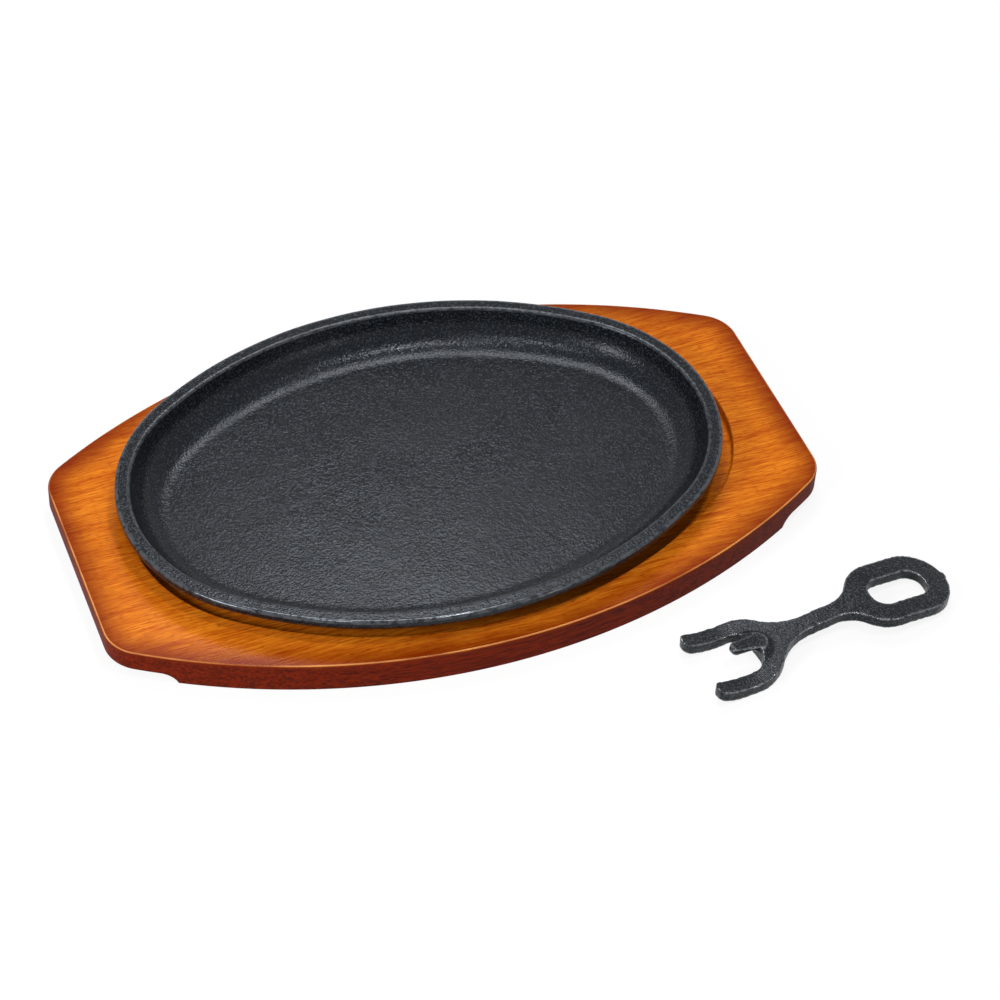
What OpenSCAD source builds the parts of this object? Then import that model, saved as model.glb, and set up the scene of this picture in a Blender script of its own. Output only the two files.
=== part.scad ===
// Oval cast iron steak plate on its wooden board, with its cast iron lifting handle beside it.
// Origin: middle of the board's underside. +X runs along the board, +Z is up.

/* [Board] */
// Length of the board from straight end to straight end
board_length = 290; // [270:1:330]
// Width of the board at its middle
board_width = 181; // [176:1:200]
// Width of the straight ends, measured before their corners are rounded
board_end_width = 93; // [70:1:110]
// Thickness of the board
board_thickness = 13; // [12:0.5:18]
// Plan radius of the four corners
board_corner_radius = 16; // [8:0.5:24]
// Distance from the middle of the flat underside to where the finger reliefs start
relief_start = 123; // [110:1:132]
// Length of the cove that leads into a finger relief
relief_cove_length = 6; // [4:0.5:10]
// Height of the finger relief under each end
relief_height = 4.1; // [2:0.1:6]

/* [Recess] */
// Depth of the recess
recess_depth = 5; // [2:0.5:7]
// Gap between the plate's wall and the recess at each end, at the board's top
recess_end_gap = 9.2; // [8:0.1:12]
// Gap between the plate's wall and the recess at each side, at the board's top
recess_side_gap = 2.7; // [1.5:0.1:5]

/* [Plate] */
// Length of the plate over its rim
plate_length = 241; // [236:1:246]
// Width of the plate over its rim
plate_width = 171; // [166:1:176]
// Height of the plate from its underside to its rim
plate_height = 18; // [17:0.5:24]
// Thickness of the floor and of the side wall
plate_thickness = 4; // [3:0.25:5]
// Radius of the large fillet between the inside wall and the floor
bowl_radius = 14; // [8:0.5:16]
// Lean of the side wall away from upright, in degrees
wall_lean = 20; // [15:1:30]
// Distance that the rim stands out past the wall
rim_overhang = 1.5; // [0.5:0.25:3]
// Height of the rim's outer face
rim_face_height = 4.2; // [3:0.1:6]
// Rounding of the rim's edges
rim_rounding = 1.2; // [0.6:0.1:1.4]
// Shift of the plate along the board
plate_shift_x = -5.5; // [-7:0.5:7]
// Shift of the plate across the board
plate_shift_y = 1; // [-1:0.25:1]
// Turn of the plate on the board, in degrees
plate_turn = -1.4; // [-2:0.1:2]

/* [Gripper fork] */
// Thickness of the gripper's bar
bar_thickness = 5; // [4:0.25:6]
// Width over the two tines
fork_width = 33; // [30:0.5:38]
// Width of the gap between the tines
fork_gap = 19; // [16:0.5:21]
// Length of the gap, from the tips to its root
fork_gap_length = 25; // [22:0.5:30]
// Radius of the gap's inner corners
fork_gap_corner = 6; // [3:0.5:8]
// Rounding of the tine tips in plan
tine_rounding = 3.3; // [1.5:0.1:3.4]
// Distance from the tips to the centre of the round shoulder
fork_shoulder = 19; // [17:0.5:24]

/* [Gripper tongue] */
// Width of the tongue at its nose
tongue_nose_width = 5; // [4:0.5:7]
// Width of the tongue at its root on the boss
tongue_root_width = 7; // [5:0.5:8]
// Distance from the fork's tips to the tongue's nose
tongue_reach = 13.3; // [11:0.1:16]
// Thickness of the tongue at its nose
tongue_thickness = 3.4; // [2.5:0.1:4]
// Height of the nose's top above the table
tongue_height = 11; // [10:0.5:13]
// Width of the boss that carries the tongue, at its top
boss_top_width = 8.4; // [8.2:0.2:10]
// Width of the boss at its foot, inside the bar
boss_foot_width = 18.4; // [16:0.4:20]
// Height of the boss above the table
boss_height = 9.4; // [9:0.1:10]
// Depth to which the tongue's top runs into the boss
tongue_sink = 0.6; // [0.3:0.1:1]
// Size of the web under the tongue, where it leaves the boss
tongue_web = 3; // [2:0.5:5]

/* [Gripper neck and grip] */
// Width of the narrow neck
neck_width = 7.4; // [5:0.1:9]
// Plan radius of the hollow curve between fork and neck
neck_fork_fillet = 20; // [14:1:26]
// Plan radius of the hollow curve between neck and grip
neck_grip_fillet = 13; // [8:1:16]
// Width of the looped grip
grip_width = 30; // [26:1:34]
// Length of the grip's straight sides
grip_straight = 14; // [8:1:20]
// Length of the whole gripper
gripper_length = 110.5; // [104:0.5:120]
// Length of the eye in the grip
eye_length = 24; // [20:0.5:27]
// Width of the eye in the grip
eye_width = 12.8; // [11.2:0.2:15]
// Corner radius of the eye
eye_corner = 5.5; // [4:0.25:5.5]
// Width of the small casting nub at the grip's end
nub_width = 4; // [3:0.25:6]
// Height that the nub stands out
nub_height = 0.6; // [0.5:0.1:1.5]
// Height that the neck is bowed up off the table
bow_height = 5.2; // [3:0.1:7]
// Side-view radius of the bow
bow_radius = 200; // [180:5:240]
// Side-view radius with which the tines curl up
tine_curl_radius = 40; // [30:1:50]
// Place of the gripper's middle along the board
gripper_x = 114.5; // [105:0.5:135]
// Place of the gripper's middle across the board
gripper_y = -113.6; // [-130:0.1:-112]
// Turn of the gripper on the table, in degrees
gripper_turn = 7.2; // [0:0.1:15]

/* [Hidden] */
$fn = 180;
// Overlap used where a cut runs past a face
past = 1;
// Straight steps in a large and in a small rounding
arc_steps = 16;
edge_steps = 8;
// Fineness of the largest circles
wide_fn = 360;

// Board: the long sides are circles through the end corners and the middle of each side.
side_sagitta = (board_width - board_end_width) / 2;
side_radius = (pow(board_length / 2, 2) + pow(side_sagitta, 2)) / (2 * side_sagitta);
side_centre = side_radius - board_width / 2;
corner_x = board_length / 2 - board_corner_radius;
corner_reach = side_radius - board_corner_radius;
corner_y = sqrt(pow(corner_reach, 2) - pow(corner_x, 2)) - side_centre;
corner_tangent_x = corner_x * side_radius / corner_reach;
relief_cove_radius = (pow(relief_cove_length, 2) + pow(relief_height, 2)) / (2 * relief_height);
relief_x = relief_start + relief_cove_length;
recess_floor = board_thickness - recess_depth;

// Plate: the wall section is one shell of even thickness around a shared fillet centre.
bowl_outer_radius = bowl_radius + plate_thickness;
rim_width = rim_overhang + plate_thickness / cos(wall_lean);
fillet_centre_x = -rim_width - bowl_radius / cos(wall_lean)
    + (bowl_outer_radius - plate_height) * tan(wall_lean);
// Width of the flat floor that is swept together with the wall
floor_lap = 6;

// Recess: as long and wide as the plate's wall at the board's top with a gap all round, to a size step.
size_step = 0.1;
seat_inset = -fillet_centre_x - sqrt(pow(bowl_outer_radius, 2) - pow(bowl_outer_radius - recess_depth, 2));
recess_length = size_step * round((plate_length - 2 * seat_inset + 2 * recess_end_gap) / size_step);
recess_width = size_step * round((plate_width - 2 * seat_inset + 2 * recess_side_gap) / size_step);

// Gripper: measured in its own frame, with the tine tips at x = 0 and its axis along y = 0.
fork_radius = fork_width / 2;
grip_radius = grip_width / 2;
grip_far_x = gripper_length - grip_radius;
grip_near_x = grip_far_x - grip_straight;
neck_half = neck_width / 2;
fork_fillet_y = neck_half + neck_fork_fillet;
fork_fillet_x = fork_shoulder
    + sqrt(pow(fork_radius + neck_fork_fillet, 2) - pow(fork_fillet_y, 2));
grip_fillet_y = neck_half + neck_grip_fillet;
grip_fillet_x = grip_near_x
    - sqrt(pow(grip_radius + neck_grip_fillet, 2) - pow(grip_fillet_y, 2));
eye_x = (grip_near_x + grip_far_x) / 2;
nub_half = nub_width / 2;
nub_angle = asin(nub_half / grip_radius);
// Share of the nub's width that is left at its end
nub_taper = 0.6;

// The bow touches the table at the grip's end, and meets the tines' curl where both arcs share a normal.
bow_x = gripper_length + nub_height - sqrt(pow(bow_radius, 2) - pow(bow_radius - bow_height, 2));
bow_z = bow_height - bow_radius;
curl_x = bow_x - sqrt(pow(bow_radius + tine_curl_radius, 2) - pow(tine_curl_radius - bow_z, 2));
curl_z = tine_curl_radius;

// Direction in which the end arcs and the side arcs of an oval meet, as a 3:4:5 triangle
joint = [0.6, 0.8];

iron = "#2b3035";
wood = "#b5581b";

// A four-arc oval from its length and width: distance between the centres of an end arc and a side arc,
// then the radius of each.
function oval_span(length, width) = (length - width) / 2 / (joint[0] + joint[1] - 1);
function oval_end_radius(length, width) = length / 2 - oval_span(length, width) * joint[0];
function oval_side_radius(length, width) = oval_end_radius(length, width) + oval_span(length, width);

// Points along an arc, from one angle to another.
function arc(centre, radius, from, to, steps) =
    [for (i = [0:steps]) let (angle = from + (to - from) * i / steps)
        centre + radius * [cos(angle), sin(angle)]];

// Points of one half of an outline, then of its mirror image below the x axis.
function mirrored(half) = concat(half, [for (i = [len(half) - 1:-1:0]) [half[i][0], -half[i][1]]]);

// Corners of a centred rectangle with rounded corners.
function rounded_rectangle(size, r) = concat(
    arc([size[0] / 2 - r, size[1] / 2 - r], r, 0, 90, edge_steps),
    arc([r - size[0] / 2, size[1] / 2 - r], r, 90, 180, edge_steps),
    arc([r - size[0] / 2, r - size[1] / 2], r, 180, 270, edge_steps),
    arc([size[0] / 2 - r, r - size[1] / 2], r, 270, 360, edge_steps)
);

// Four-arc oval, drawn in by a constant distance.
module oval(length, width, inset = 0) {
    span = oval_span(length, width);
    ends = oval_end_radius(length, width) - inset;
    sides = oval_side_radius(length, width) - inset;
    for (s = [-1, 1])
        translate([s * span * joint[0], 0])
            circle(r = ends);
    intersection() {
        translate([0, span * joint[1]])
            circle(r = sides);
        translate([0, -span * joint[1]])
            circle(r = sides);
        square([2 * sides * joint[0], width], center = true);
    }
}

// Section of the plate's wall. x = 0 is the rim's outer face and z = 0 is the underside.
module wall_section() {
    r = rim_rounding;
    low = plate_height - rim_face_height;
    centre = [fillet_centre_x, bowl_outer_radius];
    foot = centre + bowl_outer_radius * [cos(wall_lean), -sin(wall_lean)];
    top_inner = [-rim_width + r * (1 - sin(wall_lean)) / cos(wall_lean), plate_height - r];
    polygon(concat(
        arc(centre, bowl_outer_radius, -90, -wall_lean, arc_steps),
        [[foot[0] + (low - foot[1]) * tan(wall_lean), low]],
        arc([-r, low + r], r, -90, 0, edge_steps),
        arc([-r, plate_height - r], r, 0, 90, edge_steps),
        arc(top_inner, r, 90, 180 - wall_lean, edge_steps),
        arc(centre, bowl_radius, -wall_lean, -90, arc_steps),
        [[centre[0] - floor_lap, plate_thickness], [centre[0] - floor_lap, 0]]
    ));
}

// One arc of the plate's wall: a full turn of the section, cut to the wedge between two joints.
module wall_arc(centre, radius, wedge) {
    translate(centre)
        intersection() {
            rotate_extrude()
                translate([radius, 0])
                    wall_section();
            translate([0, 0, -past])
                linear_extrude(plate_height + 2 * past)
                    polygon(2 * radius * wedge);
        }
}

module plate() {
    span = oval_span(plate_length, plate_width);
    ends = oval_end_radius(plate_length, plate_width);
    sides = oval_side_radius(plate_length, plate_width);
    end_wedge = [[0, 0], [joint[0], -joint[1]], [2, 0], joint];
    side_wedge = [[0, 0], joint, [0, 2], [-joint[0], joint[1]]];
    color(iron)
        translate([plate_shift_x, plate_shift_y, recess_floor])
            rotate([0, 0, plate_turn]) {
                for (turn = [0, 180])
                    rotate([0, 0, turn]) {
                        wall_arc([span * joint[0], 0, 0], ends, end_wedge);
                        wall_arc([0, -span * joint[1], 0], sides, side_wedge);
                    }
                linear_extrude(plate_thickness)
                    oval(plate_length, plate_width, floor_lap / 2 - fillet_centre_x);
            }
}

// Plan of the board: bowed sides, straight ends, round corners.
module board_plan() {
    intersection() {
        translate([0, side_centre])
            circle(r = side_radius, $fn = wide_fn);
        translate([0, -side_centre])
            circle(r = side_radius, $fn = wide_fn);
        square([2 * corner_tangent_x, board_width], center = true);
    }
    square([board_length, 2 * corner_y], center = true);
    for (x = [-corner_x, corner_x], y = [-corner_y, corner_y])
        translate([x, y])
            circle(r = board_corner_radius);
}

// Finger relief under the board's right end: a flat cut that starts with a cove.
module finger_relief() {
    translate([relief_x, -board_width / 2, -past])
        cube([board_length, board_width, relief_height + past]);
    translate([relief_x, 0, relief_height - relief_cove_radius])
        rotate([90, 0, 0])
            cylinder(r = relief_cove_radius, h = board_width, center = true);
}

module board() {
    color(wood)
        difference() {
            linear_extrude(board_thickness)
                board_plan();
            translate([0, 0, recess_floor])
                linear_extrude(recess_depth + past)
                    oval(recess_length, recess_width);
            for (turn = [0, 180])
                rotate([0, 0, turn])
                    finger_relief();
        }
}

// Plan of the whole bar. The outline starts in the fork's gap and runs round one side to the grip's end.
module bar_plan() {
    tip = tine_rounding;
    gap = fork_gap / 2;
    fork_angle = atan2(fork_fillet_y, fork_fillet_x - fork_shoulder);
    grip_angle = atan2(grip_fillet_y, grip_fillet_x - grip_near_x);
    difference() {
        polygon(mirrored(concat(
            arc([fork_gap_length - fork_gap_corner, gap - fork_gap_corner],
                fork_gap_corner, 0, 90, edge_steps),
            arc([tip, gap + tip], tip, 270, 180, edge_steps),
            arc([tip, fork_radius - tip], tip, 180, 90, edge_steps),
            arc([fork_shoulder, 0], fork_radius, 90, fork_angle, arc_steps),
            arc([fork_fillet_x, fork_fillet_y], neck_fork_fillet, fork_angle + 180, 270, arc_steps),
            arc([grip_fillet_x, grip_fillet_y], neck_grip_fillet, 270, grip_angle + 180, arc_steps),
            arc([grip_near_x, 0], grip_radius, grip_angle, 90, arc_steps),
            arc([grip_far_x, 0], grip_radius, 90, nub_angle, arc_steps),
            [[gripper_length + nub_height, nub_half * nub_taper]]
        )));
        translate([eye_x, 0])
            polygon(rounded_rectangle([eye_length, eye_width], eye_corner));
    }
}

// Side view of the bar: the neck bows up and the tines curl up, both as even strips.
module bar_profile() {
    difference() {
        translate([bow_x, bow_z])
            circle(r = bow_radius + bar_thickness, $fn = wide_fn);
        translate([bow_x, bow_z])
            circle(r = bow_radius, $fn = wide_fn);
        polygon([[bow_x, bow_z], [curl_x, curl_z],
            [curl_x - bow_radius, curl_z], [bow_x - 2 * bow_radius, bow_z]]);
        translate([bow_x - 2 * bow_radius, bow_z - 2 * bow_radius])
            square([4 * bow_radius, 2 * bow_radius]);
    }
    intersection() {
        difference() {
            translate([curl_x, curl_z])
                circle(r = tine_curl_radius);
            translate([curl_x, curl_z])
                circle(r = tine_curl_radius - bar_thickness);
        }
        polygon([[bow_x, bow_z], [curl_x, curl_z], [curl_x - tine_curl_radius, curl_z],
            [curl_x - tine_curl_radius, bow_z]]);
    }
}

// Stock that the bar's plan is cut from: the bowed strip, with a conical boss behind the fork's gap.
module bowed_stock() {
    rotate([90, 0, 0])
        linear_extrude(2 * fork_width, center = true)
            bar_profile();
    translate([fork_gap_length, 0, bar_thickness])
        cylinder(r1 = boss_foot_width / 2, r2 = boss_top_width / 2, h = boss_height - bar_thickness);
}

// Plan of the tongue: a round nose that widens to its round root inside the boss.
module tongue_plan() {
    nose = tongue_nose_width / 2;
    polygon(mirrored(concat(
        arc([tongue_reach + nose, 0], nose, 180, 90, edge_steps),
        arc([fork_gap_length, 0], tongue_root_width / 2, 90, 0, arc_steps)
    )));
}

// Side view of the tongue: from its round nose down to the boss, with a web underneath.
module tongue_profile() {
    nose = tongue_thickness / 2;
    under = tongue_height - tongue_thickness;
    root_x = fork_gap_length + boss_top_width / 2;
    polygon(concat(
        arc([tongue_reach + nose, tongue_height - nose], nose, 90, 270, edge_steps),
        [
            [fork_gap_length - tongue_web, under], [fork_gap_length + past, under - tongue_web],
            [root_x, under - tongue_web], [root_x, boss_height - tongue_sink]
        ]
    ));
}

module gripper() {
    color(iron)
        translate([gripper_x, gripper_y, 0])
            rotate([0, 0, gripper_turn])
                translate([-gripper_length / 2, 0, 0]) {
                    intersection() {
                        translate([0, 0, -past])
                            linear_extrude(bow_height + 2 * bar_thickness)
                                bar_plan();
                        bowed_stock();
                    }
                    intersection() {
                        linear_extrude(2 * tongue_height)
                            tongue_plan();
                        rotate([90, 0, 0])
                            linear_extrude(2 * fork_width, center = true)
                                tongue_profile();
                    }
                }
}

plate();
board();
gripper();
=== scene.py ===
"""Dressed scene of an oval cast iron steak plate on its wooden board, with its lifting handle.

Lengths in the dataclasses are in millimetres. Meshes are made in metres, in the frame of the solids:
origin in the middle of the board's underside, +X along the board and +Z up.
"""

import logging
import math
from dataclasses import dataclass
from enum import Enum

import bmesh
import bpy
import numpy as np
from mathutils import Matrix, Vector, noise

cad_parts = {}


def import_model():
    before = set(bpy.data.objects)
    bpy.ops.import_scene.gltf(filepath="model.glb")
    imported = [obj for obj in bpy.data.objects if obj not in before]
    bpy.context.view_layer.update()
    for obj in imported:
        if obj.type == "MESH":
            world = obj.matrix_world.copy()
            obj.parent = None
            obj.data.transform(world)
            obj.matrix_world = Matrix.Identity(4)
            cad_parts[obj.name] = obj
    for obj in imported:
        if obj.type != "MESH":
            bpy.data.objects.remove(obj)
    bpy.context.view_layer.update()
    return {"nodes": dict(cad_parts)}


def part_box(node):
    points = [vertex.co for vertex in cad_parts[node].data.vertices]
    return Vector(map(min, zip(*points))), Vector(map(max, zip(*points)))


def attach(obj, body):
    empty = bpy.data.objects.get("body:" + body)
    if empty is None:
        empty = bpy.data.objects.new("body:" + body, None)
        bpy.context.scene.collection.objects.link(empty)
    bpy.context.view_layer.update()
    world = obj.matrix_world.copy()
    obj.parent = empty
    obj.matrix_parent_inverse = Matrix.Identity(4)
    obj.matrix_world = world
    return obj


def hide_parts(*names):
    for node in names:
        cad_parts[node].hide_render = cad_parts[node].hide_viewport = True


logging.basicConfig(level=logging.INFO, format="%(message)s")
LOG = logging.getLogger("steak_plate")

# Short names of Blender's node types, and of a point in a flat drawing
Tree = bpy.types.NodeTree
Node = bpy.types.Node
Socket = bpy.types.NodeSocket
Point = tuple[float, float]

MM = 0.001
# Point attributes that the finishes read
EDGE = "edge_mm"
WEAR = "wear"
# Blender's name of a change with a soft start and end
EASED = "SMOOTHSTEP"
# Middle value of an uneven pattern
MIDDLE = 0.5
WHITE = (1.0, 1.0, 1.0, 1.0)
# Keeps a division away from zero
TINY = 1e-9
# How far a seed shifts a pattern along X, Y and Z
SEED_SHARES = (1.0, 0.7, 1.3)


class Part(Enum):
    """The three pieces of the set, as (name of the solid, material slot)."""

    PLATE = ("plate", "plate_iron")
    BOARD = ("board", "stained_wood")
    GRIPPER = ("gripper", "gripper_iron")

    @property
    def solid(self) -> str:
        """Name of the solid that the piece stands for."""
        return self.value[0]

    @property
    def slot(self) -> str:
        """Name of the piece's material slot in the record."""
        return self.value[1]


def srgb(code: str) -> tuple[float, float, float, float]:
    """Turns an sRGB hex colour to linear.

    Args:
        code: Six hex digits after a hash sign.

    Returns:
        Linear red, green, blue and an alpha of 1.
    """
    channels = [int(code[i : i + 2], 16) / 255 for i in (1, 3, 5)]
    linear = [c / 12.92 if c <= 0.04045 else ((c + 0.055) / 1.055) ** 2.4 for c in channels]
    return (linear[0], linear[1], linear[2], 1.0)


def add_node(
    tree: Tree,
    kind: str,
    inputs: dict | None = None,
    stops: tuple[tuple[float, str], ...] = (),
    **settings: object,
) -> Node:
    """Adds a node to a tree, with its settings and its links.

    Args:
        tree: Node tree that gets the node.
        kind: Blender's name of the node type.
        inputs: Values, output sockets, or nodes that give their first output in use, by name or number.
        stops: Place and sRGB colour of each stop of a colour ramp, in rising order.
        settings: Attributes of the node itself.

    Returns:
        The new node.
    """
    made = tree.nodes.new(kind)
    for name, value in settings.items():
        setattr(made, name, value)
    for socket, value in (inputs or {}).items():
        if isinstance(value, Node):
            value = next(output for output in value.outputs if output.enabled)
        if isinstance(value, Socket):
            tree.links.new(value, made.inputs[socket])
        else:
            made.inputs[socket].default_value = value
    for i, (place, code) in enumerate(stops):
        elements = made.color_ramp.elements
        element = elements[i] if i < len(elements) else elements.new(1.0)
        element.position = place
        element.color = srgb(code)
    return made


def empty_tree(owner: bpy.types.Material | bpy.types.World) -> Tree:
    """Turns on the nodes of a material or of the surroundings, and takes out the ready-made ones.

    Args:
        owner: The material or the surroundings.

    Returns:
        The empty node tree.
    """
    owner.use_nodes = True
    owner.node_tree.nodes.clear()
    return owner.node_tree


@dataclass(frozen=True)
class Pattern:
    """Uneven pattern with features of a real size."""

    # Size of a feature along X, Y and Z, number of finer octaves, height of the relief, and how strong
    # each finer octave is against the one before
    size: tuple[float, float, float]
    detail: float = 0.0
    height: float = 0.0
    falloff: float = 0.55

    def over(self, tree: Tree, place: Socket | Node) -> Node:
        """Lays the pattern over a surface.

        Args:
            tree: Node tree of the finish.
            place: Object coordinates, in metres.

        Returns:
            The node of the pattern.
        """
        scale = tuple(1 / (length * MM) for length in self.size)
        mapped = add_node(tree, "ShaderNodeMapping", {"Vector": place, "Scale": scale})
        inputs = {"Vector": mapped, "Scale": 1.0, "Detail": self.detail, "Roughness": self.falloff}
        return add_node(tree, "ShaderNodeTexNoise", inputs)


@dataclass(frozen=True)
class Change:
    """Change from one value to another, with a soft start and end, over a stretch of a pattern."""

    start: float
    end: float
    before: float
    after: float

    def inputs(self, pattern: Socket | Node) -> dict:
        """Gives the inputs of the node that makes the change in this pattern."""
        limits = {"From Min": self.start, "From Max": self.end, "To Min": self.before, "To Max": self.after}
        return {"Value": pattern} | limits


@dataclass(frozen=True)
class CastIronFinish:
    """Sand-cast iron, blackened and oil seasoned."""

    # The eye sees a blue-black that is nearly dry, with a fine sparkle on the tops of the sand's grain,
    # soft clouds where the oil was wiped, and grey edges where handling has worn the seasoning through.
    name: str
    # Colours of the pits, between them, on the grain's tops and on worn edges, and the reflection's cool
    # tint, which is painted in for the cool light
    hollow: str = "#06080b"
    body: str = "#0a0e12"
    rubbed: str = "#474f59"
    worn: str = "#585b5f"
    sheen: str = "#e2e8f2"
    # Where in the grain's pattern the first three colours lie, and how much they show
    tones: tuple[float, float, float] = (0.38, 0.52, 0.7)
    speckle: float = 0.45
    # Moulding sand is 0.2 to 0.4 mm across, less than a pixel, so its grain is drawn coarser to show.
    grain: Pattern = Pattern((0.82, 0.82, 0.82), 1.0, 0.135)
    # Orange peel of the poured skin, and the clouds that wiping the oil leaves
    peel: Pattern = Pattern((2.0, 2.0, 2.0), 1.0, 0.085)
    cloud: Pattern = Pattern((38.0, 30.0, 30.0), 3.0)
    # Soot in the clouds, patches in the rubbed edges, and the roughness of the baked oil, which is smooth
    # where it pooled and dry where it was wiped
    soot: Change = Change(0.35, 0.7, 0.0, 0.35)
    patches: Change = Change(0.3, 0.6, 0.2, 0.9)
    satin: Change = Change(0.3, 0.7, 0.13, 0.25)
    # What rubbing does to an edge: how much smoother it is, its share of bare metal, and of lost grain
    rubbed_gloss: float = 0.13
    bare_metal: float = 0.75
    grain_lost: float = 0.85
    specular: float = 0.2
    # Middle of a small casting scar, start and end of its slope, how ragged that is, and its depth
    scar: tuple[float, float, float] | None = None
    scar_slope: tuple[float, float] = (1.0, 2.2)
    scar_raggedness: float = 2.0
    scar_depth: float = 0.3

    def material(self) -> bpy.types.Material:
        """Builds the finish as a node material.

        Returns:
            The material.
        """
        material = bpy.data.materials.new(self.name)
        tree = empty_tree(material)
        place = add_node(tree, "ShaderNodeTexCoord").outputs["Object"]
        wear = add_node(tree, "ShaderNodeAttribute", attribute_name=WEAR).outputs["Fac"]
        grain, peel, cloud = (pattern.over(tree, place) for pattern in (self.grain, self.peel, self.cloud))
        # Handling takes the seasoning off the sharpest edges and leaves bright iron.
        squared = add_node(tree, "ShaderNodeMath", {0: wear, 1: wear}, operation="MULTIPLY")
        bright = add_node(tree, "ShaderNodeMath", {0: squared, 1: self.bare_metal}, operation="MULTIPLY")
        rough = add_node(tree, "ShaderNodeMapRange", self.satin.inputs(cloud), interpolation_type=EASED)
        gloss = add_node(tree, "ShaderNodeMath", {0: wear, 1: self.rubbed_gloss}, operation="MULTIPLY")
        smooth = add_node(tree, "ShaderNodeMath", {0: rough, 1: gloss}, operation="SUBTRACT")
        inputs = {
            "Base Color": self.colour(tree, (grain, peel, cloud), wear),
            "Metallic": bright,
            "Roughness": smooth,
            "Specular IOR Level": self.specular,
            "Specular Tint": srgb(self.sheen),
            "Normal": self.relief(tree, (grain, peel), place, wear),
        }
        shader = add_node(tree, "ShaderNodeBsdfPrincipled", inputs)
        add_node(tree, "ShaderNodeOutputMaterial", {"Surface": shader})
        return material

    def colour(self, tree: Tree, patterns: tuple[Node, Node, Node], wear: Socket) -> Node:
        """Colours the seasoning, and the edges where it is rubbed off.

        Args:
            tree: Node tree of the finish.
            patterns: Grain, orange peel and clouds.
            wear: How rubbed each point is.

        Returns:
            The node of the colour.
        """
        grain, peel, cloud = patterns
        # The grain's tops catch the cloth and go greyer, and the hollows keep soot and oil.
        stops = tuple(zip(self.tones, (self.hollow, self.body, self.rubbed)))
        tone = add_node(tree, "ShaderNodeValToRGB", {"Fac": grain}, stops)
        calm = {"Factor": self.speckle, "A": srgb(self.body), "B": tone}
        speckled = add_node(tree, "ShaderNodeMix", calm, data_type="RGBA")
        soot = add_node(tree, "ShaderNodeMapRange", self.soot.inputs(cloud), interpolation_type=EASED)
        clouded = {"Factor": soot, "A": speckled, "B": srgb(self.hollow)}
        seasoned = add_node(tree, "ShaderNodeMix", clouded, data_type="RGBA")
        patchy = add_node(tree, "ShaderNodeMapRange", self.patches.inputs(peel), interpolation_type=EASED)
        rub = add_node(tree, "ShaderNodeMath", {0: wear, 1: patchy}, operation="MULTIPLY")
        worn = {"Factor": rub, "A": seasoned, "B": srgb(self.worn)}
        return add_node(tree, "ShaderNodeMix", worn, data_type="RGBA")

    def relief(self, tree: Tree, patterns: tuple[Node, Node], place: Socket, wear: Socket) -> Node:
        """Raises the grain and the orange peel, and sinks the scar.

        Args:
            tree: Node tree of the finish.
            patterns: Grain and orange peel.
            place: Object coordinates.
            wear: How rubbed each point is.

        Returns:
            The node of the bent normal.
        """
        grain, peel = patterns
        lost = add_node(tree, "ShaderNodeMath", {0: wear, 1: self.grain_lost}, operation="MULTIPLY")
        kept = add_node(tree, "ShaderNodeMath", {0: 1.0, 1: lost}, operation="SUBTRACT")
        layers = []
        for pattern, height in ((peel, self.peel.height), (grain, self.grain.height)):
            raised = add_node(tree, "ShaderNodeMath", {0: pattern, 1: kept}, operation="MULTIPLY")
            layers.append((raised, height))
        if self.scar:
            spot = tuple(value * MM for value in self.scar)
            start, end = (length * MM for length in self.scar_slope)
            reach = add_node(tree, "ShaderNodeVectorMath", {0: place, 1: spot}, operation="DISTANCE")
            jagged = {0: peel, 1: self.scar_raggedness * MM}
            added = add_node(tree, "ShaderNodeMath", jagged, operation="MULTIPLY")
            ragged = add_node(tree, "ShaderNodeMath", {0: reach, 1: added}, operation="ADD")
            slope = Change(start, end, 0.0, 1.0).inputs(ragged)
            scar = add_node(tree, "ShaderNodeMapRange", slope, interpolation_type=EASED)
            layers.append((scar, self.scar_depth))
        # Each layer's real height bends the normal that the one below it gives.
        below = {}
        for height, depth in layers:
            inputs = {"Height": height, "Distance": depth * MM, "Strength": 1.0} | below
            normal = add_node(tree, "ShaderNodeBump", inputs)
            below = {"Normal": normal}
        return normal


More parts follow.
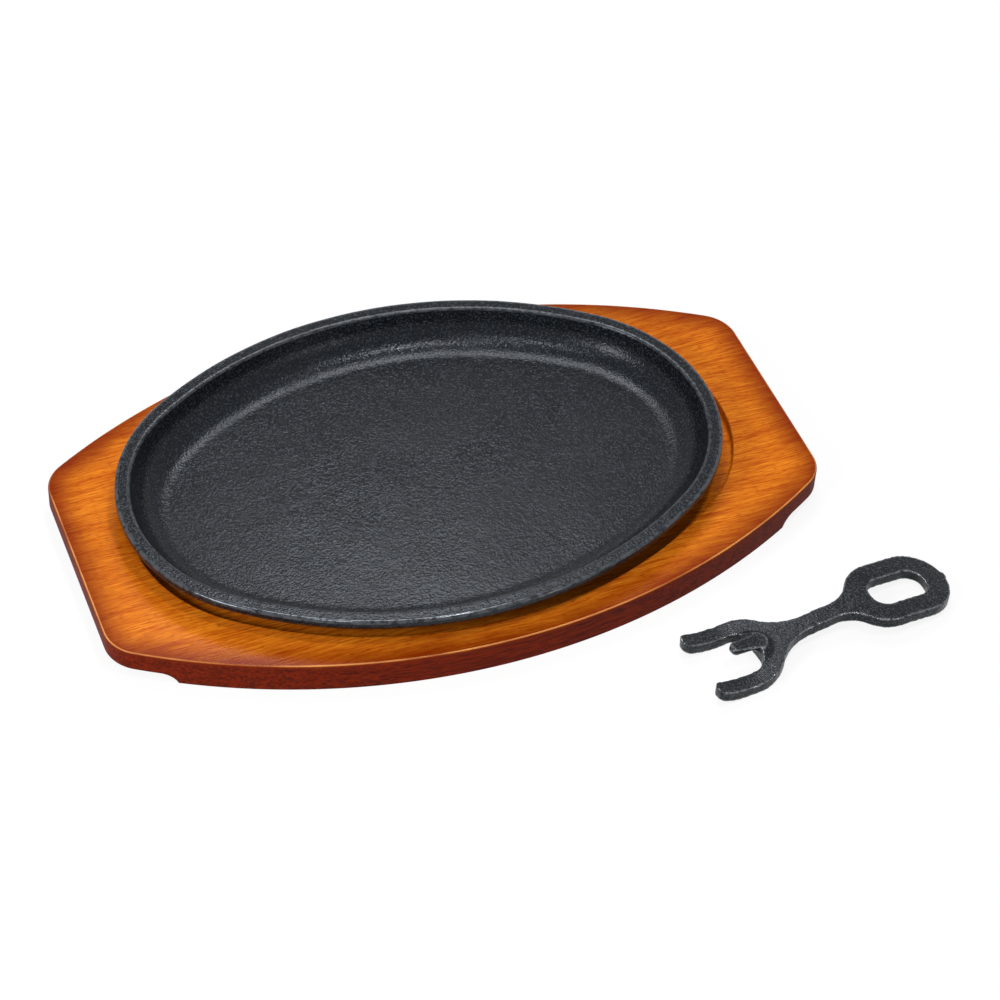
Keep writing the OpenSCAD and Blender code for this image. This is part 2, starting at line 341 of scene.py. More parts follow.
@dataclass(frozen=True)
class StainedWoodFinish:
    """Straight-grained light hardwood under sprayed orange-brown stain and thin gloss varnish."""

    # The eye sees warm orange streaked along the board, redder and darker towards its edges, deep red sides
    # whose darkness is painted shade, a thin pale line on the corner that is a painted highlight, and a broad
    # soft gloss.
    name: str
    # Stain over pale and over dense fibres, the darker colour towards the edges, the open pores,
    # the sides' painted shade, lighter and darker along their fibres, and the painted highlight on the corner
    pale: str = "#ea8a20"
    dense: str = "#ac4202"
    edge: str = "#741800"
    pore: str = "#8a3604"
    side: str = "#8c2600"
    side_shade_dark: str = "#521000"
    corner_highlight: str = "#e8a058"
    # Where in the fibres' tone the dense and the pale stain lie, and the two colours of the sides' painted
    # shade
    tones: tuple[float, float] = (0.32, 0.68)
    side_shade_tones: tuple[float, float] = (0.38, 0.6)
    # Fibres and pores of such wood are under 0.2 mm wide, less than a pixel, so they are drawn wider to show.
    fibre: Pattern = Pattern((10.0, 0.6, 0.6), 2.0, 0.06)
    pores: Pattern = Pattern((3.0, 0.5, 0.5))
    open_pores: Change = Change(0.6, 0.72, 0.0, 0.45)
    # Broad growth bands, and the fibres' share in the tone against theirs
    band: Pattern = Pattern((90.0, 2.4, 2.4), 2.0)
    fibre_share: float = 0.65
    # Bends of the fibres, and how far they wander across the board
    bend: Pattern = Pattern((90.0, 45.0, 45.0), 1.0)
    wander: float = 9.0
    # Strength of the darkening towards the edge by the distance from it, how far that shifts, and over which
    # patches
    edge_darkening: Change = Change(-3.0, 13.5, 0.95, 0.0)
    unevenness: float = 9.0
    patch: Pattern = Pattern((26.0, 22.0, 22.0), 2.0)
    # Start of the sides' painted shade, whose distance is stored as below zero, down from the top edge
    side_shade_start: Change = Change(-2.5, 0.0, 0.92, 0.0)
    # The painted highlight on the corner, over stain worn thin there, as it starts on the side and ends on
    # the top, and how broken it is
    corner_highlight_start: Change = Change(-0.45, -0.15, 0.0, 1.0)
    corner_highlight_end: Change = Change(0.0, 0.4, 1.0, 0.0)
    breaks: Change = Change(0.3, 0.62, 0.2, 0.8)
    # Roughness, because varnish lies a little duller over the open fibres, and the coat itself
    satin: Change = Change(0.35, 0.65, 0.42, 0.28)
    varnish: float = 0.15
    varnish_roughness: float = 0.2

    def material(self) -> bpy.types.Material:
        """Builds the finish as a node material.

        Returns:
            The material.
        """
        material = bpy.data.materials.new(self.name)
        tree = empty_tree(material)
        place = add_node(tree, "ShaderNodeTexCoord").outputs["Object"]
        along = self.wandering(tree, place)
        fibre, band, pores = (pattern.over(tree, along) for pattern in (self.fibre, self.band, self.pores))
        fine = add_node(tree, "ShaderNodeMath", {0: fibre, 1: self.fibre_share}, operation="MULTIPLY")
        broad = add_node(tree, "ShaderNodeMath", {0: band, 1: 1 - self.fibre_share}, operation="MULTIPLY")
        tone = add_node(tree, "ShaderNodeMath", {0: fine, 1: broad}, operation="ADD")
        raised = {"Height": fibre, "Distance": self.fibre.height * MM, "Strength": 1.0}
        normal = add_node(tree, "ShaderNodeBump", raised)
        rough = add_node(tree, "ShaderNodeMapRange", self.satin.inputs(fibre), interpolation_type=EASED)
        inputs = {
            "Base Color": self.colour(tree, tone, pores, place),
            "Roughness": rough,
            "Specular IOR Level": 0.0,
            "Coat Weight": self.varnish,
            "Coat Roughness": self.varnish_roughness,
            "Normal": normal,
            "Coat Normal": normal,
        }
        shader = add_node(tree, "ShaderNodeBsdfPrincipled", inputs)
        add_node(tree, "ShaderNodeOutputMaterial", {"Surface": shader})
        return material

    def wandering(self, tree: Tree, place: Socket) -> Node:
        """Lets the fibres wander a little across the board along its length.

        Args:
            tree: Node tree of the finish.
            place: Object coordinates.

        Returns:
            The node of the shifted coordinates.
        """
        bend = self.bend.over(tree, place)
        centred = add_node(tree, "ShaderNodeMath", {0: bend, 1: MIDDLE}, operation="SUBTRACT")
        drift = add_node(tree, "ShaderNodeMath", {0: centred, 1: self.wander * MM}, operation="MULTIPLY")
        offset = add_node(tree, "ShaderNodeCombineXYZ", {"Y": drift})
        return add_node(tree, "ShaderNodeVectorMath", {0: place, 1: offset}, operation="ADD")

    def colour(self, tree: Tree, tone: Node, pores: Node, place: Socket) -> Node:
        """Stains the top, darkens it towards the edges, paints shade on the sides and a highlight on the
        corner.

        Args:
            tree: Node tree of the finish.
            tone: Tone of fibres and bands together.
            pores: Pattern of the pores.
            place: Object coordinates.

        Returns:
            The node of the colour.
        """
        edge = add_node(tree, "ShaderNodeAttribute", attribute_name=EDGE).outputs["Fac"]
        patch = self.patch.over(tree, place)
        stops = tuple(zip(self.tones, (self.dense, self.pale)))
        body = add_node(tree, "ShaderNodeValToRGB", {"Fac": tone}, stops)
        opened = add_node(tree, "ShaderNodeMapRange", self.open_pores.inputs(pores), interpolation_type=EASED)
        inputs = {"Factor": opened, "A": body, "B": srgb(self.pore)}
        stained = add_node(tree, "ShaderNodeMix", inputs, data_type="RGBA")
        # The top grows darker and redder towards the edges, in uneven patches.
        centred = add_node(tree, "ShaderNodeMath", {0: patch, 1: MIDDLE}, operation="SUBTRACT")
        shift = add_node(tree, "ShaderNodeMath", {0: centred, 1: self.unevenness}, operation="MULTIPLY")
        uneven = add_node(tree, "ShaderNodeMath", {0: edge, 1: shift}, operation="ADD")
        edge_darkening = add_node(tree, "ShaderNodeMapRange", self.edge_darkening.inputs(uneven), interpolation_type=EASED)
        inputs = {"Factor": edge_darkening, "A": stained, "B": srgb(self.edge)}
        shaded = add_node(tree, "ShaderNodeMix", inputs, data_type="RGBA")
        # Painted shade: the sides, which take less light than the top, are coloured darker.
        stops = tuple(zip(self.side_shade_tones, (self.side_shade_dark, self.side)))
        shaded_sides = add_node(tree, "ShaderNodeValToRGB", {"Fac": tone}, stops)
        down = add_node(tree, "ShaderNodeMapRange", self.side_shade_start.inputs(edge), interpolation_type=EASED)
        with_side_shade = add_node(tree, "ShaderNodeMix", {"Factor": down, "A": shaded, "B": shaded_sides}, data_type="RGBA")
        # Painted highlight: a thin broken pale line on the corner between top and sides, where sanding and
        # handling also left the stain thin.
        rising = add_node(tree, "ShaderNodeMapRange", self.corner_highlight_start.inputs(edge), interpolation_type=EASED)
        falling = add_node(tree, "ShaderNodeMapRange", self.corner_highlight_end.inputs(edge), interpolation_type=EASED)
        corner = add_node(tree, "ShaderNodeMath", {0: rising, 1: falling}, operation="MULTIPLY")
        broken = add_node(tree, "ShaderNodeMapRange", self.breaks.inputs(patch), interpolation_type=EASED)
        rubbed = add_node(tree, "ShaderNodeMath", {0: corner, 1: broken}, operation="MULTIPLY")
        inputs = {"Factor": rubbed, "A": with_side_shade, "B": srgb(self.corner_highlight)}
        return add_node(tree, "ShaderNodeMix", inputs, data_type="RGBA")


def arc(centre: Point, radius: float, start: float, end: float, steps: int) -> list[Point]:
    """Points along an arc.

    Args:
        centre: Centre of the arc.
        radius: Its radius.
        start: First angle in degrees.
        end: Last angle in degrees.
        steps: Number of straight steps.

    Returns:
        The points, both ends included.
    """
    angles = [math.radians(start + (end - start) * i / steps) for i in range(steps + 1)]
    return [(centre[0] + radius * math.cos(a), centre[1] + radius * math.sin(a)) for a in angles]


def line(start: Point, end: Point, places: list[float]) -> list[Point]:
    """Points on a straight stretch.

    Args:
        start: Start of the stretch.
        end: End of the stretch.
        places: Share of the way for each point.

    Returns:
        The points.
    """
    return [(start[0] + (end[0] - start[0]) * t, start[1] + (end[1] - start[1]) * t) for t in places]


def skin_loops(loops: np.ndarray, last_cap: bool = True) -> tuple[list[np.ndarray], list[list[int]]]:
    """Skins closed loops of points and closes the ends with fans.

    Args:
        loops: Points by loop and place in the loop.
        last_cap: Whether the last loop is closed, as the first is.

    Returns:
        The points, and the faces by number of point.
    """
    count, around = loops.shape[0], loops.shape[1]
    points = list(loops.reshape(-1, 3))
    step = np.arange(around)
    following = (step + 1) % around
    faces = []
    for i in range(count - 1):
        low, high = i * around, (i + 1) * around
        faces += np.stack([low + step, low + following, high + following, high + step], axis=1).tolist()
    for row in (0, count - 1) if last_cap else (0,):
        middle = np.full(around, len(points))
        points.append(loops[row].mean(axis=0))
        faces += np.stack([middle, row * around + following, row * around + step], axis=1).tolist()
    return points, faces


def new_mesh(name: str, points: list[np.ndarray], faces: list[list[int]]) -> bpy.types.Mesh:
    """Makes a smooth mesh whose faces point outwards.

    Args:
        name: Name of the mesh.
        points: Its points, in millimetres.
        faces: Its faces, by number of point.

    Returns:
        The mesh, in metres.
    """
    mesh = bpy.data.meshes.new(name)
    mesh.from_pydata([tuple(p * MM) for p in points], [], faces)
    shell = bmesh.new()
    shell.from_mesh(mesh)
    bmesh.ops.recalc_face_normals(shell, faces=shell.faces)
    shell.to_mesh(mesh)
    shell.free()
    mesh.shade_smooth()
    return mesh


def mesh_points(mesh: bpy.types.Mesh) -> np.ndarray:
    """Reads the points of a mesh.

    Args:
        mesh: The mesh.

    Returns:
        Its points, in millimetres.
    """
    flat = np.zeros(len(mesh.vertices) * 3)
    mesh.vertices.foreach_get("co", flat)
    return flat.reshape(-1, 3) / MM


def set_mesh_points(mesh: bpy.types.Mesh, points: np.ndarray) -> None:
    """Writes the mesh's points, given in millimetres."""
    mesh.vertices.foreach_set("co", (points * MM).ravel())
    mesh.update()


def mesh_normals(mesh: bpy.types.Mesh) -> np.ndarray:
    """Reads the direction in which the surface faces at each point of a mesh.

    Args:
        mesh: The mesh.

    Returns:
        The directions, of length 1.
    """
    flat = np.zeros(len(mesh.vertices) * 3)
    mesh.vertex_normals.foreach_get("vector", flat)
    return flat.reshape(-1, 3)


def set_attribute(mesh: bpy.types.Mesh, name: str, values: np.ndarray) -> None:
    """Stores one number per point on the mesh.

    Args:
        mesh: Mesh that gets the numbers.
        name: Name of the attribute.
        values: One value per point.
    """
    attribute = mesh.attributes.new(name, "FLOAT", "POINT")
    attribute.data.foreach_set("value", values.astype(np.float32))


def cast_skin(points: np.ndarray, size: float, seed: float) -> np.ndarray:
    """Unevenness of a cast surface.

    Args:
        points: Points in millimetres.
        size: Size of one hump in millimetres.
        seed: Shift of the pattern.

    Returns:
        One value per point, from 0 to 1.
    """
    shift = Vector([seed * share for share in SEED_SHARES])
    return np.array([0.5 + 0.5 * noise.noise(Vector(p) / size + shift) for p in points]).clip(0, 1)


def turned(points: np.ndarray, degrees: float) -> np.ndarray:
    """Turns points about the vertical through the origin.

    Args:
        points: Points in rows.
        degrees: Angle, counterclockwise from above.

    Returns:
        The turned points.
    """
    angle = math.radians(degrees)
    result = points.copy()
    result[..., 0] = points[..., 0] * math.cos(angle) - points[..., 1] * math.sin(angle)
    result[..., 1] = points[..., 0] * math.sin(angle) + points[..., 1] * math.cos(angle)
    return result


def dress(mesh: bpy.types.Mesh, part: Part, material: bpy.types.Material) -> None:
    """Puts a finished mesh into the scene in place of its solid.

    Args:
        mesh: The finished mesh, in the frame of the solids.
        part: Piece of the set that it shows.
        material: Its finish.
    """
    piece = bpy.data.objects.new(f"{part.solid}_dressed", mesh)
    bpy.context.scene.collection.objects.link(piece)
    mesh.materials.clear()
    mesh.materials.append(material)
    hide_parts(part.solid)
    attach(piece, "root")
    LOG.info("%s: %d faces", piece.name, len(mesh.polygons))


@dataclass(frozen=True)
class Oval:
    """Four-arc oval, whose arcs meet along a 3:4:5 triangle."""

    length: float
    width: float
    # Cosine and sine of the direction in which an end arc meets a side arc
    joint: tuple[float, float] = (0.6, 0.8)
    # Points on each arc where distances are looked up
    fineness: int = 400

    @property
    def span(self) -> float:
        """Distance between the centres of an end arc and a side arc."""
        return (self.length - self.width) / 2 / (self.joint[0] + self.joint[1] - 1)

    @property
    def end_radius(self) -> float:
        """Radius of the two end arcs."""
        return self.length / 2 - self.span * self.joint[0]

    def path(self, steps: int) -> tuple[np.ndarray, np.ndarray]:
        """Walks round the oval.

        Args:
            steps: Number of points on each arc.

        Returns:
            Points on the outline, and the outward direction at each.
        """
        turn = math.degrees(math.atan2(self.joint[1], self.joint[0]))
        end, side = self.end_radius, self.end_radius + self.span
        reach = self.span * self.joint[0]
        depth = self.span * self.joint[1]
        arcs = [
            ((reach, 0.0), end, -turn, turn),
            ((0.0, -depth), side, turn, 180 - turn),
            ((-reach, 0.0), end, 180 - turn, 180 + turn),
            ((0.0, depth), side, 180 + turn, 360 - turn),
        ]
        points, outward = [], []
        for centre, radius, start, stop in arcs:
            for i in range(steps):
                angle = math.radians(start + (stop - start) * i / steps)
                facing = (math.cos(angle), math.sin(angle))
                points.append((centre[0] + radius * facing[0], centre[1] + radius * facing[1]))
                outward.append(facing)
        return np.array(points), np.array(outward)

    def reach(self, angles: np.ndarray) -> np.ndarray:
        """Distance from the middle to the outline.

        Args:
            angles: Directions from the middle, in radians.

        Returns:
            The distances.
        """
        points, _ = self.path(self.fineness)
        bearing = np.arctan2(points[:, 1], points[:, 0])
        distance = np.hypot(points[:, 0], points[:, 1])
        order = np.argsort(bearing)
        return np.interp(angles, bearing[order], distance[order], period=2 * math.pi)


@dataclass
class Plate:
    """Oval cast plate: a flat floor, a large fillet, a leaning wall and a rim with a tall outer face."""

    length: float = 241.0
    width: float = 171.0
    height: float = 18.0
    thickness: float = 4.0
    bowl_radius: float = 14.0
    wall_lean: float = 20.0
    rim_overhang: float = 1.5
    rim_face_height: float = 4.2
    rim_rounding: float = 1.2
    # Where the plate's middle lies on the board, and how far the plate is turned, in degrees
    shift: tuple[float, float] = (-5.5, 1.0)
    turn: float = -1.4
    # Humps of the poured skin, wide and narrow, as (size, height)
    skin: tuple[tuple[float, float], ...] = ((22.0, 0.22), (5.0, 0.07))
    first_seed: int = 3
    # Points on each arc of the oval, on the bowl's fillet, and on the rim's upper and lower roundings
    steps: int = 120
    bowl_steps: int = 22
    rim_steps: int = 8
    low_steps: int = 6
    # Loops of the floor, and the widest and narrowest as shares of its edge
    floor_loops: int = 34
    floor_shares: tuple[float, float] = (0.985, 0.02)
    # How rubbed the inner lip, the top of the outer face, that face and its lower edge are
    lip_wear: float = 0.5
    top_wear: float = 0.9
    face_wear: float = 0.1
    low_wear: float = 0.25
    finish: CastIronFinish = CastIronFinish("sand_cast_iron_seasoned", scar=(-14.2, 0.0, 12.0))

    def section(self) -> tuple[np.ndarray, np.ndarray]:
        """Section of the wall, from the inside floor over the rim to the underside.

        Returns:
            Offsets from the rim's outer face with heights, and how rubbed each point is.
        """
        lean = math.radians(self.wall_lean)
        outer = self.bowl_radius + self.thickness
        rim_width = self.rim_overhang + self.thickness / math.cos(lean)
        r = self.rim_rounding
        low = self.height - self.rim_face_height
        inward = self.bowl_radius / math.cos(lean) + (self.height - outer) * math.tan(lean)
        middle = (-rim_width - inward, outer)
        lip = (-rim_width + r * (1 - math.sin(lean)) / math.cos(lean), self.height - r)
        inner_floor = arc(middle, self.bowl_radius, -90, -self.wall_lean, self.bowl_steps)
        inner_lip = arc(lip, r, 180 - self.wall_lean, 90, self.rim_steps)
        outer_top = arc((-r, self.height - r), r, 90, 0, self.rim_steps)
        outer_low = arc((-r, low + r), r, 0, -90, self.low_steps)
        foot = arc(middle, outer, -self.wall_lean, -90, self.bowl_steps)
        under = (foot[0][0] + (low - foot[0][1]) * math.tan(lean), low)
        # Places of the points on the straight stretches, closer together next to the bends
        wall = [0.06, 0.2, 0.4, 0.6, 0.8, 0.94]
        rim = [0.1, 0.3, 0.5, 0.7, 0.9]
        face = [0.15, 0.5, 0.85]
        overhang = [0.5, 1.0]
        stretches = [
            (inner_floor, 0.0),
            (line(inner_floor[-1], inner_lip[0], wall), 0.0),
            (inner_lip, self.lip_wear),
            (line(inner_lip[-1], outer_top[0], rim), 0.0),
            (outer_top, self.top_wear),
            (line(outer_top[-1], outer_low[0], face), self.face_wear),
            (outer_low, self.low_wear),
            (line(outer_low[-1], under, overhang), 0.0),
            (line(under, foot[0], wall), 0.0),
            (foot, 0.0),
        ]
        points = [p for stretch, _ in stretches for p in stretch]
        rubbed = [w for stretch, w in stretches for _ in stretch]
        return np.array(points), np.array(rubbed)

    def build(self) -> None:
        """Sweeps the section round the oval, roughens the skin and dresses the plate."""
        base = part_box(Part.PLATE.solid)[0].z / MM
        outline, outward = Oval(self.length, self.width).path(self.steps)
        section, rubbed = self.section()
        swept = outline[None, :, :] + section[:, None, 0:1] * outward[None, :, :]
        heights = np.repeat(section[:, 1:2], outline.shape[0], axis=1)
        wall = np.concatenate([swept, heights[:, :, None]], axis=2)
        shares = np.linspace(*self.floor_shares, self.floor_loops)
        inner = np.array([wall[0] * [s, s, 1.0] for s in shares[::-1]])
        under = np.array([wall[-1] * [s, s, 1.0] for s in shares[::2]])
        loops = np.concatenate([inner, wall, under])
        mesh = new_mesh("plate_skin", *skin_loops(loops))
        wear = np.zeros(len(mesh.vertices))
        around = outline.shape[0]
        start = len(inner) * around
        wear[start : start + len(section) * around] = np.repeat(rubbed, around)
        points = mesh_points(mesh)
        normals = mesh_normals(mesh)
        for seed, (size, height) in enumerate(self.skin, start=self.first_seed):
            points -= normals * (cast_skin(points, size, seed) * height)[:, None]
        points = turned(points, self.turn) + [self.shift[0], self.shift[1], base]
        set_mesh_points(mesh, points)
        set_attribute(mesh, WEAR, wear)
        dress(mesh, Part.PLATE, self.finish.material())


@dataclass
class Board:
    """Wooden board with bowed sides, an oval recess and a finger relief under each end."""

    length: float = 290.0
    width: float = 181.0
    end_width: float = 93.0
    thickness: float = 13.0
    corner_radius: float = 16.0
    relief_start: float = 123.0
    relief_cove: float = 6.0
    relief_height: float = 4.1
    # The recess follows the plate's foot, with a gap.
    recess: Oval = Oval(243.0, 160.0)
    recess_depth: float = 5.0
    # Sanded rounding of the upper and lower outer edges, and the corners of the routed recess
    edge_rounding: float = 0.8
    foot_rounding: float = 0.4
    lip_rounding: float = 0.8
    recess_fillet: float = 1.5
    # Steps along the outline: from the middle of an end to its corner, round the corner, over the finger
    # relief, and from there to the middle of the long side
    end_steps: int = 12
    corner_steps: int = 16
    cove_steps: int = 26
    side_steps: int = 90
    # Steps of the roundings in the recess, at the outer edge and at the foot
    recess_steps: int = 6
    edge_steps: int = 8
    foot_steps: int = 5
    # Loops of the recess's floor, and the narrowest and widest as shares of its wall
    floor_loops: int = 24
    floor_shares: tuple[float, float] = (0.02, 0.98)
    finish: StainedWoodFinish = StainedWoodFinish("stained_varnished_hardwood")

    def quarter(self) -> tuple[list[Point], list[Point]]:
        """Walks the first quarter of the outline, from the middle of the right end to that of the far side.

        Returns:
            The points, and the outward direction at each.
        """
        rise = (self.width - self.end_width) / 2
        radius = ((self.length / 2) ** 2 + rise**2) / (2 * rise)
        centre = radius - self.width / 2
        corner_x = self.length / 2 - self.corner_radius
        reach = radius - self.corner_radius
        corner_y = math.sqrt(reach**2 - corner_x**2) - centre
        meet = math.degrees(math.acos(corner_x / reach))
        shares = [i / self.end_steps for i in range(self.end_steps)]
        points = line((self.length / 2, 0.0), (self.length / 2, corner_y), shares)
        facing = [(1.0, 0.0)] * self.end_steps
        points += arc((corner_x, corner_y), self.corner_radius, 0, meet, self.corner_steps)
        facing += arc((0.0, 0.0), 1.0, 0, meet, self.corner_steps)
        start = math.degrees(math.acos(self.relief_start / radius))
        for first, last, steps in ((meet, start, self.cove_steps), (start, 90, self.side_steps)):
            points += arc((0.0, -centre), radius, first, last, steps)[1:]
            facing += arc((0.0, 0.0), 1.0, first, last, steps)[1:]
        return points, facing

    def outline(self) -> tuple[np.ndarray, np.ndarray]:
        """Mirrors the quarter to the whole outline, counterclockwise.

        Returns:
            The points, and the outward direction at each.
        """
        points, facing = (np.array(part) for part in self.quarter())
        flip = np.array([[1, 1], [-1, 1], [-1, -1], [1, -1]])
        runs = [(flip[0], 1), (flip[1], -1), (flip[2], 1), (flip[3], -1)]
        whole = [np.array([points * f, facing * f])[:, ::way] for f, way in runs]
        trimmed = [run[:, :-1] for run in whole]
        joined = np.concatenate(trimmed, axis=1)
        return joined[0], joined[1]

    def underside(self, x: np.ndarray) -> np.ndarray:
        """Height of the underside along the board.

        Args:
            x: Places along the board.

        Returns:
            The heights.
        """
        cove_radius = (self.relief_cove**2 + self.relief_height**2) / (2 * self.relief_height)
        past = np.clip(self.relief_start + self.relief_cove - np.abs(x), 0.0, self.relief_cove)
        cove = self.relief_height - cove_radius + np.sqrt(cove_radius**2 - past**2)
        return np.where(np.abs(x) < self.relief_start, 0.0, cove)

    def ring(
        self, outline: np.ndarray, facing: np.ndarray, inset: float, height: np.ndarray | float
    ) -> np.ndarray:
        """One closed loop parallel to the outline.

        Args:
            outline: Points of the outline.
            facing: Outward directions.
            inset: Distance inside the outline.
            height: Height of the loop.

        Returns:
            The loop's points.
        """
        flat = outline - facing * inset
        return np.column_stack([flat, np.broadcast_to(height, len(flat))])

    def loops(self) -> np.ndarray:
        """Lays out the board's loops, from the middle of the recess round to the edge of the underside.

        Returns:
            Points by loop and place in the loop.
        """
        outline, facing = self.outline()
        bearing = np.arctan2(outline[:, 1], outline[:, 0])
        rounding, lip, fillet = self.edge_rounding, self.lip_rounding, self.recess_fillet
        foot = self.foot_rounding
        floor = self.thickness - self.recess_depth
        direction = np.column_stack([np.cos(bearing), np.sin(bearing)])
        wall = direction * self.recess.reach(bearing)[:, None]

        def recess_ring(offset: float, height: float) -> np.ndarray:
            """Gives a loop at a distance outside the recess's wall."""
            return np.column_stack([wall + direction * offset, np.full(len(wall), height)])

        shares = np.linspace(*self.floor_shares, self.floor_loops)
        made = [recess_ring(0.0, floor) * [s, s, 1.0] for s in shares]
        steps = self.recess_steps
        made += [recess_ring(x, z) for x, z in arc((-fillet, floor + fillet), fillet, -90, 0, steps)]
        made += [recess_ring(x, z) for x, z in arc((lip, self.thickness - lip), lip, 180, 90, steps)]
        top = self.ring(outline, facing, rounding, self.thickness)
        inner = recess_ring(lip, self.thickness)
        across = [0.02, 0.08, 0.2, 0.35, 0.5, 0.65, 0.8, 0.92, 0.98]
        made += [inner + (top - inner) * s for s in across]
        for x, z in arc((-rounding, self.thickness - rounding), rounding, 90, 0, self.edge_steps):
            made.append(self.ring(outline, facing, -x, z))
        base = self.underside(outline[:, 0])
        upper = self.thickness - rounding
        down = [0.1, 0.5, 0.9]
        made += [self.ring(outline, facing, 0.0, upper + (base + foot - upper) * s) for s in down]
        for x, z in arc((-foot, foot), foot, 0, -90, self.foot_steps):
            made.append(self.ring(outline, facing, -x, base + z))
        return np.array(made)

    def close_underside(
        self, points: list[np.ndarray], faces: list[list[int]], last: np.ndarray, start: int
    ) -> None:
        """Closes the underside in rows across the board, between opposite points of the lowest loop.

        Args:
            points: All points so far, to which the rows' own are added.
            faces: All faces so far, to which the underside's are added.
            last: Points of the lowest loop.
            start: Number of its first point.
        """
        around, ends = len(last), self.end_steps
        half, cuts = around // 2, 2 * ends
        far_side = [start + i for i in range(half + 1)]
        near_side = [start + (around - i) % around for i in range(half + 1)]
        # The straight ends themselves are the first and the last row.
        rows = [near_side[ends::-1] + far_side[1 : ends + 1]]
        for a, b in zip(near_side[ends + 1 : half - ends], far_side[ends + 1 : half - ends]):
            row = [a]
            near, far = last[a - start], last[b - start]
            for i in range(1, cuts):
                between = near + (far - near) * i / cuts
                between[2] = near[2]
                row.append(len(points))
                points.append(between)
            rows.append(row + [b])
        rows.append(near_side[half - ends :] + far_side[half - 1 : half - ends - 1 : -1])
        for first, second in zip(rows, rows[1:]):
            faces += [[first[i], first[i + 1], second[i + 1], second[i]] for i in range(cuts)]

    def build(self) -> None:
        """Skins the board, stores how far each point is from its edge, and dresses it."""
        loops = self.loops()
        points, faces = skin_loops(loops, last_cap=False)
        self.close_underside(points, faces, loops[-1], (loops.shape[0] - 1) * loops.shape[1])
        mesh = new_mesh("board_skin", points, faces)
        points = mesh_points(mesh)
        outline, _ = self.outline()
        distance = np.array([np.hypot(*(outline - p).T).min() for p in points[:, :2]])
        below = self.thickness - points[:, 2]
        # Points on the sides store their depth below the top edge as a distance below zero; from it the
        # finish paints shade on the sides and a highlight on the corner.
        side = (distance < self.edge_rounding) & (below > 0.0)
        set_attribute(mesh, EDGE, np.where(side, -below, distance))
        dress(mesh, Part.BOARD, self.finish.material())


@dataclass
class Gripper:
    """Cast lifting handle: a fork with a raised tongue, a bowed neck and a looped grip."""

    # Distance at which the solid's points are one, fineness at which its shape is rounded off, and how far
    # and how often its points are drawn in
    merge: float = 0.001
    voxel: float = 0.42
    rounding: float = 0.5
    rounding_passes: int = 6
    # Humps of the rough skin, as (size, height)
    skin: tuple[tuple[float, float], ...] = ((6.0, 0.25), (1.8, 0.13))
    first_seed: int = 11
    # Reach of the broken-off look of the tine tips, and how much rougher they are
    ragged_reach: float = 7.0
    ragged: float = 0.9
    # Where the handle's middle lies on the table, its length, and how far it is turned, in degrees
    centre: tuple[float, float] = (114.5, -113.6)
    length: float = 110.5
    turn: float = 7.2
    # Bend of an edge at which rubbing starts, and over which it grows to the full, in radians a millimetre
    wear_start: float = 0.12
    wear_growth: float = 0.35
    # Left as it came from the sand, without the baked oil: the eye sees it greyer, coarser and duller.
    finish: CastIronFinish = CastIronFinish(
        "sand_cast_iron_raw",
        hollow="#040506",
        body="#101317",
        rubbed="#5f6266",
        worn="#787b7f",
        speckle=0.6,
        grain=Pattern((0.7, 0.7, 0.7), 1.0, 0.16),
        peel=Pattern((1.8, 1.8, 1.8), 1.0, 0.16),
        satin=Change(0.3, 0.7, 0.23, 0.35),
    )

    def rounded_copy(self, solid: bpy.types.Object) -> bpy.types.Mesh:
        """Copies the solid and rounds every edge as a casting has it.

        Args:
            solid: The handle's solid.

        Returns:
            The rounded mesh.
        """
        mesh = solid.data.copy()
        shell = bmesh.new()
        shell.from_mesh(mesh)
        bmesh.ops.remove_doubles(shell, verts=shell.verts, dist=self.merge * MM)
        shell.to_mesh(mesh)
        shell.free()
        rough = bpy.data.objects.new("gripper_rough", mesh)
        bpy.context.scene.collection.objects.link(rough)
        remesh = rough.modifiers.new("voxels", "REMESH")
        remesh.mode = "VOXEL"
        remesh.voxel_size = self.voxel * MM
        remesh.adaptivity = 0.0
        smooth = rough.modifiers.new("rounding", "SMOOTH")
        smooth.factor = self.rounding
        smooth.iterations = self.rounding_passes
        graph = bpy.context.evaluated_depsgraph_get()
        made = bpy.data.meshes.new_from_object(rough.evaluated_get(graph))
        bpy.data.objects.remove(rough)
        made.name = "gripper_skin"
        made.shade_smooth()
        return made

    def build(self, solid: bpy.types.Object) -> None:
        """Rounds, roughens and dresses the handle.

        Args:
            solid: The handle's solid.
        """
        mesh = self.rounded_copy(solid)
        points = mesh_points(mesh)
        normals = mesh_normals(mesh)
        own = turned(points - [self.centre[0], self.centre[1], 0.0], -self.turn)
        from_tips = own[:, 0] + self.length / 2
        rough = 1.0 + self.ragged * np.clip(1.0 - from_tips / self.ragged_reach, 0.0, 1.0)
        for seed, (size, height) in enumerate(self.skin, start=self.first_seed):
            points -= normals * (cast_skin(points, size, seed) * height * rough)[:, None]
        set_mesh_points(mesh, points)
        set_attribute(mesh, WEAR, self.edge_wear(mesh))
        dress(mesh, Part.GRIPPER, self.finish.material())

    def edge_wear(self, mesh: bpy.types.Mesh) -> np.ndarray:
        """Finds the edges of the casting, where handling has rubbed it.

        Args:
            mesh: The rounded mesh.

        Returns:
            How rubbed each point is, from 0 to 1.
        """
        normals = mesh_normals(mesh)
        edges = np.zeros(len(mesh.edges) * 2, dtype=int)
        mesh.edges.foreach_get("vertices", edges)
        edges = edges.reshape(-1, 2)
        points = mesh_points(mesh)
        run = points[edges[:, 1]] - points[edges[:, 0]]
        bend = ((normals[edges[:, 1]] - normals[edges[:, 0]]) * run).sum(axis=1)
        bend /= np.maximum((run**2).sum(axis=1), TINY)
        total = np.zeros(len(points))
        count = np.zeros(len(points))
        for end in (0, 1):
            np.add.at(total, edges[:, end], bend)
            np.add.at(count, edges[:, end], 1)
        mean = total / np.maximum(count, 1)
        return np.clip((mean - self.wear_start) / self.wear_growth, 0.0, 1.0)


